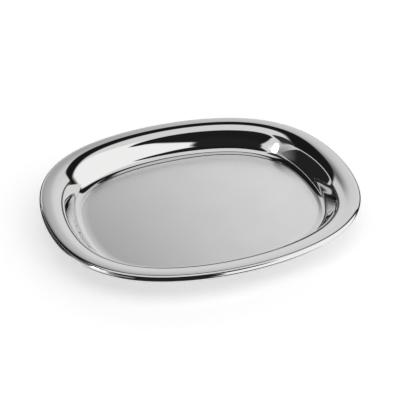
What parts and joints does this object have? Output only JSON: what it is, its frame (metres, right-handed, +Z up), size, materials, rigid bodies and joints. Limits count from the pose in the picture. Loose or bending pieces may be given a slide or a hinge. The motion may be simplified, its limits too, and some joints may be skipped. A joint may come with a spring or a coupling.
{
  "type": "serving tray",
  "caption": "Rounded oval metal serving tray: a shallow flat-floored well with a broad polished rim and a rolled, wire-stiffened edge.",
  "frame": {"origin": "middle of the floor's underside, on the surface that the tray stands on", "axes": "+X along the tray's length, +Y across it, +Z up"},
  "size_m": [0.4, 0.34, 0.032],
  "materials": {
    "polished_steel": "mirror-polished rim, wall and rolled edge; satin floor",
    "wire_steel": "plain drawn wire"
  },
  "bodies": {
    "root": {"tray_shell": "polished_steel", "rim_wire": "wire_steel"}
  },
  "joints": []
}
